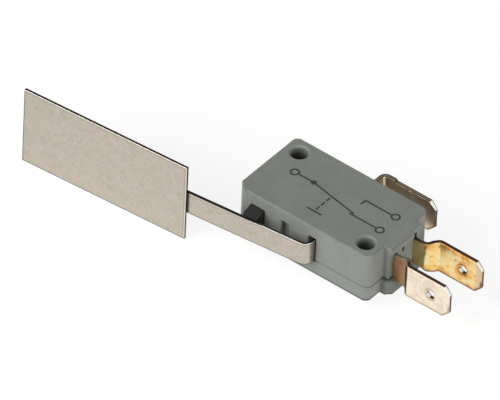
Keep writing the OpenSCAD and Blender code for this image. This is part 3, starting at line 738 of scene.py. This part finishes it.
NO_METAL = plated_tab(
    "brass_tab", face=(0.98, 0.68, 0.25), pale=(0.90, 0.76, 0.42),
    speck=(0.50, 0.26, 0.075), speck_share=0.8, stain=(0.72, 0.35, 0.075), stain_reach=1.9,
    burnt=(0.2, 0.09, 0.03), tip=(0.66, 0.54, 0.40), tip_run=(18.8, 19.2),
    band=(0.86, 0.58, 0.20), band_in=(8.8, 9.6), band_out=(11.2, 10.2), band_share=0.5,
    walls=dict(sheared=(0.03, 0.018, 0.01), torn=(0.05, 0.03, 0.015), rolled=(0.38, 0.2, 0.08),
               bright=(0.95, 0.92, 0.85)),
    rough=(0.24, 0.36), neck=(0.52, 0.41, 0.165), neck_run=(8.9, 8.4))
COM_METAL = plated_tab(
    "common_tab", face=(0.70, 0.58, 0.43), pale=(0.78, 0.66, 0.51),
    speck=(0.4, 0.27, 0.16), speck_share=0.3, stain=(0.5, 0.38, 0.25), stain_reach=0.4,
    burnt=(0.3, 0.2, 0.12), tip=(0.58, 0.43, 0.30), tip_run=(17.5, 20.0),
    # band: a painted highlight on the front of the bend
    band=(1.0, 0.9, 0.68), band_in=(11.1, 11.3), band_out=(12.2, 12.0), band_share=1.0,
    walls=dict(sheared=(0.03, 0.022, 0.016), torn=(0.22, 0.165, 0.115), rolled=(0.03, 0.022, 0.016),
               bright=(0.95, 0.92, 0.86)),
    # The lower part of the front gets a painted highlight
    rough=(0.3, 0.42), foot_highlight=(1.0, 0.79, 0.48), grain=0.25)
COPPER = plain_metal("copper_alloy", face=(0.72, 0.42, 0.24), deep=(0.5, 0.27, 0.14), rough=(0.25, 0.4))
SILVER = plain_metal("contact_silver", face=(0.82, 0.81, 0.78), deep=(0.62, 0.61, 0.58), rough=(0.22, 0.38))
SPRING = plain_metal("spring_steel", face=(0.62, 0.61, 0.6), deep=(0.42, 0.42, 0.42), rough=(0.25, 0.4))

for material, names in ((CASE, ("case",)), (COVER, ("cover",)), (PLUNGER, ("plunger",)),
                        (SILVER, ("nc_contact", "no_contact", "moving_contact")),
                        (COPPER, ("anchor_bracket", "anchor_rivets", "contact_arm")),
                        (SPRING, ("rocker", "snap_spring"))):
    for node_name in names:
        nodes[node_name].data.materials.clear()
        nodes[node_name].data.materials.append(material)


# Lever and paddle: rows along the sheet and shares across it, distances in millimetres

LEVER_ACROSS = 64
LEG_ROWS = (0.6, 6.0, 90)
STRIP_ROWS = 90
LAP_ROWS = 110
ROW_GAP = 0.1
END_GAP = 0.2
EAR_STEP = 0.02
LEVER_END = 0.1
PADDLE_ACROSS = 60
PADDLE_ROWS = 120
PADDLE_END = 0.05
END_WALL = 0.001

# Spot welds, by their distance from the lever's end, and the ring of heat stain round them
WELD_BACK = (3.0, 8.6)
WELD_R = 0.75
WELD_D = 0.09
WELD_STAIN = 0.6
WELD_STAIN_HALF = 0.35

# Painted shade where the lever goes behind the paddle, by the run past that place
LAP_SHADE = 0.85
LAP_SHADE_IN = (-0.6, -0.25)
LAP_SHADE_OUT = (1.4, 0.6)

# Upper edge of the lever that is rolled over, and walls that are worn, by the run along the lever
ROLL_OVER = 0.2
ROLL_IN = (11.5, 14.5)
ROLL_FADE = 0.02
WEAR_IN = (4.6, 5.4)
WEAR_OUT = (13.5, 11.5)


def lever_line():
    """Mid line of the lever: leg out of the case, bend, long strip, small set, lap behind the paddle.

    A bend takes its radius times the tangent of half its angle off the runs before and after it."""
    bend = LEVER_BEND_R * math.tan(math.radians(90 - LEVER_ANGLE) / 2)
    set_in = SET_R * math.tan(math.radians(PADDLE_SET) / 2)
    steps = [(LEVER_END_Y - LEVER_Y - bend, LEVER_ANGLE - 90, LEVER_BEND_R),
             (LEVER_REACH - bend - set_in, -PADDLE_SET, SET_R),
             (PADDLE_LAP, 0, 0)]
    return bent_line(steps, (LEVER_X, LEVER_END_Y), -90)


def lever_strip():
    """The lever: a strip along its mid line, wider at the ears, dented on the back by two spot welds.

    Where the upper edge is rolled over, the cut wall reaches in from the edge. Painted shade by the paddle
    and wear are straight ramps along the run, and a ring of heat stain lies round each weld."""
    line, length = lever_line()
    lap_s = length - PADDLE_LAP
    welds = length - np.array(WELD_BACK)

    def weld_away(s, z):
        """Distance from the nearest weld, which lies on the mid line."""
        return np.min(np.hypot(s[..., None] - welds, z[..., None]), -1)

    def weld_dents(s, z):
        """Depth of the dents: half a cosine wave, down to nothing at a weld's radius."""
        return WELD_D * 0.5 * (1 + np.cos(np.pi * np.clip(weld_away(s, z) / WELD_R, 0, 1)))

    tail, inset = end_rows(length, LEVER_END)
    s = np.concatenate([[0, EAR_D - EAR_STEP, EAR_D + EAR_STEP], np.linspace(*LEG_ROWS),
                        np.linspace(LEG_ROWS[1] + ROW_GAP, lap_s - ROW_GAP, STRIP_ROWS),
                        np.linspace(lap_s, length - END_GAP, LAP_ROWS), tail])
    trim = np.concatenate([np.zeros(len(s) - len(tail)), inset])
    half_w = np.where(s < EAR_D, LEVER_W / 2 + EAR_L, LEVER_W / 2) - trim
    half_t = LEVER_T / 2 - trim
    points, values = strip_rows(line, s, half_w, half_t, STRIP_EDGE, even(LEVER_ACROSS), LEVER_Z, weld_dents)
    run = values["run"]
    up = values["up"]
    # Painted shade on the strip by the paddle's edge, and a heat stain ring round each weld
    by_paddle = np.minimum(ramp(run - lap_s, *LAP_SHADE_IN), LAP_SHADE) * ramp(run - lap_s, *LAP_SHADE_OUT)
    by_weld = WELD_STAIN * ramp(np.abs(weld_away(run, up) - WELD_R), WELD_STAIN_HALF, 0)
    values["burnt"] = np.maximum(by_paddle, by_weld)
    inside = values["near"] - np.where(up > 0, ROLL_OVER * ramp(run, *ROLL_IN), 0)
    values["rim"] = np.maximum(values["rim"], ramp(-inside, 0, ROLL_FADE))
    values["near"] = np.maximum(inside, 0)
    values["worn"] = ramp(run, *WEAR_IN) * ramp(run, *WEAR_OUT)
    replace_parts(piece("lever_strip", [capped(points, values)], STEEL, "lever"), "lever")


def paddle_sheet():
    """The paddle: a flat strip that lies against the front of the lever's lap, rounded at both ends.

    It starts at the lever's set, lifted by half of both thicknesses. Near an end, a point's distance from
    the edge is that from the end, whose wall counts as an upper edge at the start and a lower one beyond."""
    heading = LEVER_ANGLE - 180 - PADDLE_SET
    out = math.radians(LEVER_ANGLE - 180)
    turned = math.radians(heading)
    lift = LEVER_T / 2 + PADDLE_T / 2
    at = np.array([LEVER_X + LEVER_REACH * math.cos(out), LEVER_Y + LEVER_REACH * math.sin(out)])
    at = at + lift * np.array([-math.sin(turned), math.cos(turned)])
    line, length = bent_line([(PADDLE_L, 0, 0)], at, heading)
    tail, inset = end_rows(length, PADDLE_END)
    s = np.concatenate([length - tail[::-1], np.linspace(END_GAP, length - END_GAP, PADDLE_ROWS), tail])
    trim = np.concatenate([inset[::-1], np.zeros(PADDLE_ROWS), inset])
    half_w = PADDLE_H / 2 - trim
    half_t = PADDLE_T / 2 - trim
    points, values = strip_rows(line, s, half_w, half_t, STRIP_EDGE, even(PADDLE_ACROSS), LEVER_Z)
    run = values["run"]
    ends = np.minimum(run, length - run)
    end_up = np.where(run < length / 2, 1.0, -1.0)
    values["up"] = np.where(ends < values["near"], end_up, values["up"])
    values["near"] = np.minimum(values["near"], ends)
    values["rim"] = np.maximum(values["rim"], ends < END_WALL)
    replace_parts(piece("paddle_sheet", [capped(points, values)], STEEL, "lever"), "paddle")


lever_strip()
paddle_sheet()


# Moulded skin that closes the unused lever slot, flush with the inside of the front wall

WEB_T = 0.25
WEB_HOLD = 0.01
WEB_EDGE = 0.02
WEB_ROWS = 12
WEB_ACROSS = 24


def slot_web():
    """The skin: a flat strip across the slot, held in its walls by a hair on every side."""
    start = (SPARE_X - SLOT_W / 2 - WEB_HOLD, FRONT_IN_Y - WEB_T / 2)
    line, length = bent_line([(SLOT_W + 2 * WEB_HOLD, 0, 0)], start, 0)
    s = np.linspace(0, length, WEB_ROWS)
    half_w = np.full(len(s), SLOT_H / 2 + WEB_HOLD)
    half_t = np.full(len(s), WEB_T / 2)
    rows = strip_rows(line, s, half_w, half_t, WEB_EDGE, even(WEB_ACROSS), LEVER_Z)
    piece("slot_web", [capped(*rows)], CASE, "body")


slot_web()


# Terminals: rows along the sheet, points along the sides, chamfers and tip of a tab, rings round its hole

BLADE_ROWS = (0.0, 6.0, 14)
NECK_ROWS = 130
COM_ROWS = 170
COM_STEP = 0.02
LINE_PROBES = 4000
TAB_ACROSS = 31
# Painted light of a tab's sides in order: none on the long sides, a painted highlight on the chamfers,
# painted shade on the tip's end
TAB_SIDES = (60, 16, 36, 16, 60)
TAB_PAINTED_LIGHT = (0.0, 1.0, -1.0, 1.0, 0.0)
TAB_RINGS = 22
RING_POWER = 1.1
CUT_BACK = 2.4
LEAD_IN = 1.1
LEAD_IN_SHARE = 0.32

# Painted highlight on the neck's walls, by the run along the terminal
NECK_PAINTED_LIGHT = (10.2, 9.4)

# Dark arc round the hole: its distance and half width, its direction, and the cosines it lies between
DARK_ARC_AT = 0.3
DARK_ARC_HALF = 0.2
DARK_ARC_TURN = math.radians(110)
DARK_ARC_SPAN = (5 / 18, 15 / 18)

# Wall of the hole: its least share of cut wall, the sines over which its lower part gets painted shade, and
# where it gets a painted highlight
HOLE_LEAST = 0.25
HOLE_LOWER = (0.2, -0.4)
SHINE_TURN = math.radians(-135)
SHINE_ARC = (0.8, 0.95)


def along_sides(corners):
    """Points along the sides of a tab: each corner plus even shares of the way to the next one."""
    sides = [corners[i] + np.linspace(0, 1, n + 1)[:-1, None] * (corners[i + 1] - corners[i])
             for i, n in enumerate(TAB_SIDES)]
    return np.concatenate(sides + [corners[-1:]])


def tab_end(line, s_cut, s_end, across):
    """The holed end of a push-on tab, from a cut across the sheet to its chamfered tip.

    Rings run from the hole's circle to the outline by straight shares, on both faces. A quarter circle
    rounds hole and outline over to their walls. Over the lead-in both faces slope in towards the tip.
    A point's distance from an edge is the least of those to the sides, tip, chamfers and hole. Inside the
    hole the lower wall gets painted shade, and the part that faces up and out a painted highlight. A dark
    arc lies over the hole, strongest a third of a millimetre from it."""
    w = TAB_W / 2
    t = TAB_T / 2
    c = TAB_CHAMFER
    e = TAB_EDGE
    g = e * math.tan(CHAMFER_TURN / 2)
    s_hole = s_end - TAB_HOLE_RUN
    rim_out = along_sides(np.array([[s_cut, -w], [s_end - c, -w], [s_end, -w + c],
                                    [s_end, w - c], [s_end - c, w], [s_cut, w]]))
    rim_in = along_sides(np.array([[s_cut, -w + e], [s_end - c - g, -w + e], [s_end - e, -w + c + g],
                                   [s_end - e, w - c - g], [s_end - c - g, w - e], [s_cut, w - e]]))
    # Painted highlight on the chamfers and painted shade on the tip's end, round the outline
    painted_light = np.append(np.repeat(TAB_PAINTED_LIGHT, TAB_SIDES), 0.0)
    cut = np.stack([np.full(len(across), s_cut), (w - e) * across[::-1]], -1)[1:-1]
    loop = np.concatenate([rim_in, cut])
    spin = np.arctan2(loop[:, 1], loop[:, 0] - s_hole)
    ray = np.stack([np.cos(spin), np.sin(spin)], -1)
    centre = np.array([s_hole, 0])
    mouth = centre + (TAB_HOLE_R + e) * ray
    wall = centre + TAB_HOLE_R * ray

    def chunk(flat, level, rim, worn, wrap):
        """Points over flat places s, z, at a level across the thickness, with their values and quads."""
        s = flat[..., 0]
        z = flat[..., 1]
        side = w - np.abs(z)
        corner = (s_end - s + side - c) / math.sqrt(2)
        hole = np.hypot(s - s_hole, z) - TAB_HOLE_R
        near = np.minimum(np.minimum(side, s_end - s), np.minimum(corner, hole))
        h = level * t * (1 - LEAD_IN_SHARE * ramp(s, s_end - LEAD_IN, s_end))
        arc = np.cos(np.arctan2(z, s - s_hole) - DARK_ARC_TURN)
        burnt = ramp(np.abs(hole - DARK_ARC_AT), DARK_ARC_HALF, 0) * ramp(arc, *DARK_ARC_SPAN)
        values = marks(s.shape, rim=rim, run=s, near=near, level=level, up=z, worn=worn, burnt=burnt)
        return on_line(line, s, MID_Z + z, h), values, [quads(*s.shape, wrap=wrap)]

    shares = np.linspace(0, 1, TAB_RINGS) ** RING_POWER
    face = mouth[None] + shares[:, None, None] * (loop - mouth)[None]
    chunks = [chunk(face, side, 0.0, 0.0, True) for side in (1.0, -1.0)]
    up, down = round_over()
    out = np.concatenate([up, up[::-1]])[:, None]
    level = np.concatenate([1 - down * e / t, down[::-1] * e / t - 1])[:, None]
    rim = out ** WALL_POWER
    flat = rim_in[None] + out[..., None] * (rim_out - rim_in)[None]
    chunks.append(chunk(flat, level, rim, painted_light[None, :], False))
    flat = mouth[None] + out[..., None] * (wall - mouth)[None]
    # Painted shade on the hole's lower wall and a painted highlight on the part facing up and out
    dark = HOLE_LEAST + (1 - HOLE_LEAST) * ramp(np.sin(spin), *HOLE_LOWER)
    shine = ramp(np.cos(spin - SHINE_TURN), *SHINE_ARC)
    chunks.append(chunk(flat, level, rim * dark, shine[None, :], True))
    return chunks


def terminal(name, line, length, s, half_w, painted_light, material, node):
    """A terminal: a strip with a painted highlight on the walls at its neck, up to the last s, and the holed
    tab from there.
    """
    across = even(TAB_ACROSS)
    half_t = np.full(len(s), TAB_T / 2)
    points, values = strip_rows(line, s, half_w, half_t, TAB_EDGE, across, MID_Z)
    values["worn"] = painted_light * ramp(values["run"], *NECK_PAINTED_LIGHT)
    chunks = [capped(points, values, last=False)] + tab_end(line, s[-1], length, across)
    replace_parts(piece(name, chunks, material, "body"), node)


def end_terminal(name, y, side, joggle, tab_x, painted_light, material, node):
    """An end terminal: blade in the case, neck, joggle to one side, and the tab.

    The joggle is two equal arcs with a slanted run between them, which makes up the rest of its height.
    The strip widens straight over the shoulder, whose places are read off the mid line."""
    a = math.radians(JOGGLE_ANGLE)
    run = (joggle - 2 * JOGGLE_R * (1 - math.cos(a))) / math.sin(a)
    reach = 2 * JOGGLE_R * math.sin(a) + run * math.cos(a)
    steps = [(tab_x - reach - BLADE_X0, side * JOGGLE_ANGLE, JOGGLE_R),
             (run, -side * JOGGLE_ANGLE, JOGGLE_R),
             (TAB_L, 0, 0)]
    line, length = bent_line(steps, (BLADE_X0, y), 0)
    probe = np.linspace(0, length, LINE_PROBES)
    shoulder_x = [tab_x - SHOULDER_BACK, tab_x - SHOULDER_BACK + SHOULDER_RUN]
    shoulder_s = np.interp(shoulder_x, line(probe)[0], probe)
    s_cut = length - TAB_HOLE_RUN - CUT_BACK
    s = np.concatenate([np.linspace(*BLADE_ROWS), np.linspace(BLADE_ROWS[1] + ROW_GAP, s_cut, NECK_ROWS)])
    half_w = np.interp(s, shoulder_s, [NECK_W / 2, TAB_W / 2])
    terminal(name, line, length, s, half_w, painted_light, material, node)


def common_terminal():
    """The common terminal: out through the back wall, bent round to the end, a wide root, and the tab.

    Its width jumps up at the root and down at the tab."""
    in_run = COM_X - COM_BEND_R - COM_IN_X
    steps = [(in_run, 90, COM_BEND_R),
             (COM_TAB_Y - COM_IN_Y - 2 * COM_BEND_R, -90, COM_BEND_R),
             (COM_ROOT_L + COM_TAB_L - COM_BEND_R, 0, 0)]
    line, length = bent_line(steps, (COM_IN_X, COM_IN_Y), 0)
    s_root = in_run + COM_BEND_R * math.pi / 2 + COM_STEP_Y - COM_IN_Y - COM_BEND_R
    s_tab = length - COM_TAB_L
    s_cut = length - TAB_HOLE_RUN - CUT_BACK
    jumps = [s_root - COM_STEP, s_root + COM_STEP, s_tab - COM_STEP, s_tab + COM_STEP]
    s = np.unique(np.concatenate([np.linspace(0, s_cut, COM_ROWS), jumps]))
    half_w = np.where(s < s_root, NECK_W / 2, np.where(s < s_tab, COM_ROOT_W / 2, TAB_W / 2))
    terminal("common_tab", line, length, s, half_w, painted_light=0.0,
             material=COM_METAL, node="com_terminal")


# The closed-contact terminal gets a painted highlight on its neck's walls
end_terminal("nc_tab", y=NC_Y, side=-1, joggle=NC_JOGGLE, tab_x=NC_TAB_X, painted_light=0.6,
             material=NC_METAL, node="nc_terminal")
end_terminal("no_tab", y=NO_Y, side=1, joggle=NO_JOGGLE, tab_x=NO_TAB_X, painted_light=0.0,
             material=NO_METAL, node="no_terminal")
common_terminal()


# Printed sign of a changeover contact on the large face: pins, pivot, arm, stops and push rod

INK_W = 0.17
INK_H = 0.012
INK_SINK = 0.01
INK_STEP = 0.0005
BAR_POINTS = 13
RING_POINTS = 49
NC_PIN = (10.9, -1.3)
NO_PIN = (10.9, 2.9)
COM_PIN = (-8.6, 0.8)
PIN_R = 0.7
PIVOT = (-4.6, 0.8)
PIVOT_R = 0.36
TURN_X = 4.6
ARM_TIP = (5.0, -0.92)
STOP_Y = 1.8
ROD_X = -0.2
ROD_DASHES = ((-0.55, -1.3), (-1.95, -2.7), (-3.35, -4.1))
BUTTON = ((-1.6, -4.7), (1.2, -4.7))


def ink_bar(a, b, height):
    """A printed bar: the outline of all points within the ink's width of a line, raised to a height."""
    a = np.array(a, float)
    b = np.array(b, float)
    turn = math.atan2(b[1] - a[1], b[0] - a[0])
    swing = turn + np.linspace(-np.pi / 2, np.pi / 2, BAR_POINTS)
    ray = INK_W * np.stack([np.cos(swing), np.sin(swing)], -1)
    rim = np.concatenate([b + ray, a - ray])
    n = len(rim)
    z = TOP_Z + np.array([-INK_SINK, height])[:, None, None]
    points = np.concatenate([np.repeat(rim[None], 2, 0), np.broadcast_to(z, (2, n, 1))], -1)
    return points, {}, [quads(2, n, wrap=True), np.arange(n)[None], n + np.arange(n)[None]]


def ink_ring(centre, radius, height):
    """A printed ring: a flat four-cornered section carried round a circle."""
    spin = np.linspace(0, 2 * np.pi, RING_POINTS)[:, None]
    r = radius + INK_W * np.array([-1, 1, 1, -1])[None, :]
    z = TOP_Z + np.array([-INK_SINK, -INK_SINK, height, height])[None, :]
    x = centre[0] + r * np.cos(spin)
    y = centre[1] + r * np.sin(spin)
    points = np.stack([x, y, np.broadcast_to(z, x.shape)], -1)
    return points, {}, [quads(*x.shape, wrap=True)]


def contact_sign():
    """The sign: rings and bars, each a hair lower or higher than the last, so that none share a face."""
    rings = [(NC_PIN, PIN_R), (NO_PIN, PIN_R), (COM_PIN, PIN_R), (PIVOT, PIVOT_R)]
    bars = [((COM_PIN[0] + PIN_R, COM_PIN[1]), PIVOT), (PIVOT, ARM_TIP),
            ((TURN_X, NC_PIN[1]), (NC_PIN[0] - PIN_R, NC_PIN[1])),
            ((TURN_X, NO_PIN[1]), (NO_PIN[0] - PIN_R, NO_PIN[1])),
            ((TURN_X, NO_PIN[1]), (TURN_X, STOP_Y)), BUTTON]
    bars += [((ROD_X, top), (ROD_X, low)) for top, low in ROD_DASHES]
    sign = [ink_ring(*ring, INK_H + INK_STEP * i) for i, ring in enumerate(rings)]
    sign += [ink_bar(*bar, INK_H - INK_STEP * (i + 1)) for i, bar in enumerate(bars)]
    piece("contact_sign", sign, INK, "body")


contact_sign()


# Floor, light and camera

FLOOR_REACH = 2.0
FLOOR_GAP = 0.00005
FLOOR_TONE = (0.85, 0.85, 0.85)
FLOOR_SEEN = (0.3, 0.3, 0.3)
FLOOR_LIFT = 0.83
WORLD_LIGHT = 0.2

# Name, place in metres, size and power of each lamp
LAMPS = (("front_softbox", (-0.27, -0.58, 0.36), 0.6, 4.3),
         ("side_softbox", (0.7, -0.1, 0.16), 0.45, 2.7))

# View of the camera: angles, distance in metres, and the point that lies at a pixel of the image
AZIMUTH = math.radians(36.80)
ELEVATION = math.radians(41.83)
ROLL = math.radians(2.71)
FOCAL_PX = 17477.0
DISTANCE = 2.883
IMAGE_W = 500
IMAGE_H = 400
AIM = Vector((0, 0, 0.00545))
AIM_PX = (331.7, 217.2)
SENSOR_W = 36.0
CLIP_END = 20.0


def seen_share(tree):
    """1 for what the camera, a mirror or glass sees, and 0 for what only gives light."""
    path = add(tree, "ShaderNodeLightPath").outputs
    seen = math_node(tree, "MAXIMUM", path["Is Camera Ray"], path["Is Glossy Ray"])
    return math_node(tree, "MAXIMUM", seen, path["Is Transmission Ray"])


def floor_material():
    """Pale floor that keeps the object's shadow; what the camera and mirrors see of it is lifted to white."""
    material, tree, shader = new_material("pale_floor", Roughness=0.9, Specular_IOR_Level=0.0)
    seen = seen_share(tree)
    fill(tree, shader.inputs["Base Color"], mix(tree, seen, FLOOR_TONE, FLOOR_SEEN))
    lift = add(tree, "ShaderNodeEmission", Strength=times(tree, seen, FLOOR_LIFT))
    both = add(tree, "ShaderNodeAddShader")
    fill(tree, both.inputs[0], shader.outputs[0])
    fill(tree, both.inputs[1], lift.outputs[0])
    fill(tree, tree.nodes["Material Output"].inputs["Surface"], both.outputs[0])
    return material


def lay_floor():
    """A flat square just under the paddle."""
    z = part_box("paddle")[0].z - FLOOR_GAP
    corners = [(x * FLOOR_REACH, y * FLOOR_REACH, z) for x, y in ((-1, -1), (1, -1), (1, 1), (-1, 1))]
    mesh = bpy.data.meshes.new("floor")
    mesh.from_pydata(corners, [], [(0, 1, 2, 3)])
    mesh.materials.append(floor_material())
    floor = bpy.data.objects.new("floor", mesh)
    scene.collection.objects.link(floor)


def studio_world():
    """A world that is white to look at and lights the object only faintly."""
    world = bpy.data.worlds.new("studio")
    scene.world = world
    world.use_nodes = True
    tree = world.node_tree
    soft = tree.nodes["Background"]
    fill(tree, soft.inputs["Color"], (1, 1, 1))
    fill(tree, soft.inputs["Strength"], WORLD_LIGHT)
    white = add(tree, "ShaderNodeBackground", Strength=1.0)
    switch = add(tree, "ShaderNodeMixShader")
    fill(tree, switch.inputs[0], seen_share(tree))
    fill(tree, switch.inputs[1], soft.outputs[0])
    fill(tree, switch.inputs[2], white.outputs[0])
    fill(tree, tree.nodes["World Output"].inputs["Surface"], switch.outputs[0])


def softbox(name, place, size, power):
    """A square area lamp at a place, facing the origin."""
    lamp = bpy.data.lights.new(name, "AREA")
    lamp.size = size
    lamp.energy = power
    obj = bpy.data.objects.new(name, lamp)
    obj.location = place
    obj.rotation_euler = (-Vector(place)).to_track_quat("-Z", "Y").to_euler()
    scene.collection.objects.link(obj)


def set_camera():
    """The camera: back from the aim along its angles, rolled, and moved so that the aim lies at its pixel."""
    px_per_m = FOCAL_PX / DISTANCE
    back = Vector((math.sin(AZIMUTH) * math.cos(ELEVATION), -math.cos(AZIMUTH) * math.cos(ELEVATION),
                   math.sin(ELEVATION)))
    level = Vector((math.cos(AZIMUTH), math.sin(AZIMUTH), 0))
    rise = back.cross(level)
    right = level * math.cos(ROLL) + rise * math.sin(ROLL)
    up = rise * math.cos(ROLL) - level * math.sin(ROLL)
    aside = (IMAGE_W / 2 - AIM_PX[0]) / px_per_m
    above = (IMAGE_H / 2 - AIM_PX[1]) / px_per_m
    place = AIM + right * aside - up * above + back * DISTANCE
    camera = bpy.data.objects.new("camera", bpy.data.cameras.new("camera"))
    camera.data.sensor_width = SENSOR_W
    camera.data.lens = FOCAL_PX * SENSOR_W / IMAGE_W
    camera.data.clip_end = CLIP_END
    camera.matrix_world = Matrix(((right.x, up.x, back.x, place.x), (right.y, up.y, back.y, place.y),
                                  (right.z, up.z, back.z, place.z), (0, 0, 0, 1)))
    scene.collection.objects.link(camera)
    scene.camera = camera


scene.view_settings.view_transform = "Standard"
lay_floor()
studio_world()
for lamp in LAMPS:
    softbox(*lamp)
set_camera()
